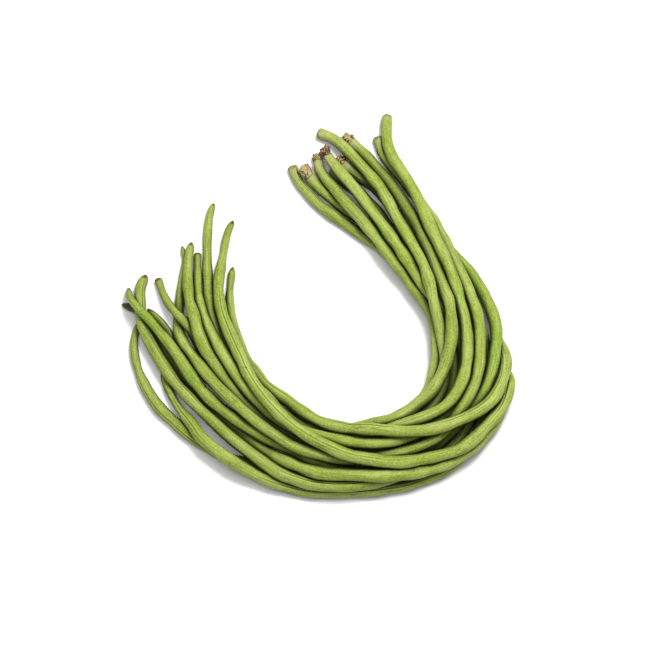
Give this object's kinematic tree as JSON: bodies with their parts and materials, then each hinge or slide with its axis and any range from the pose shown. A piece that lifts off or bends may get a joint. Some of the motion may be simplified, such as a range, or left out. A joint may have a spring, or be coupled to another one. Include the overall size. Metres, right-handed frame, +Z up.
{
  "type": "yardlong bean bunch",
  "caption": "Loose bunch of long green yardlong beans, bent into a wide U and lying on a surface, with dry brown stem ends.",
  "frame": {"origin": "middle of the bunch's footprint, on the surface that it lies on", "axes": "+Z up from the surface; the U opens towards -X and +Y, with the stem ends at +Y and the tips at -X"},
  "size_m": [0.321, 0.3212, 0.0399],
  "materials": {
    "pod_green": "satin",
    "calyx_brown": "matte"
  },
  "bodies": {
    "root": {"pod_01": "pod_green", "pod_02": "pod_green", "pod_03": "pod_green", "pod_04": "pod_green", "pod_05": "pod_green", "pod_06": "pod_green", "pod_07": "pod_green", "pod_08": "pod_green", "pod_09": "pod_green", "pod_10": "pod_green", "pod_11": "pod_green", "pod_12": "pod_green", "pod_13": "pod_green", "pod_14": "pod_green", "pod_15": "pod_green", "calyx_08": "calyx_brown", "calyx_09": "calyx_brown", "calyx_11": "calyx_brown", "calyx_13": "calyx_brown", "calyx_14": "calyx_brown"}
  },
  "joints": []
}
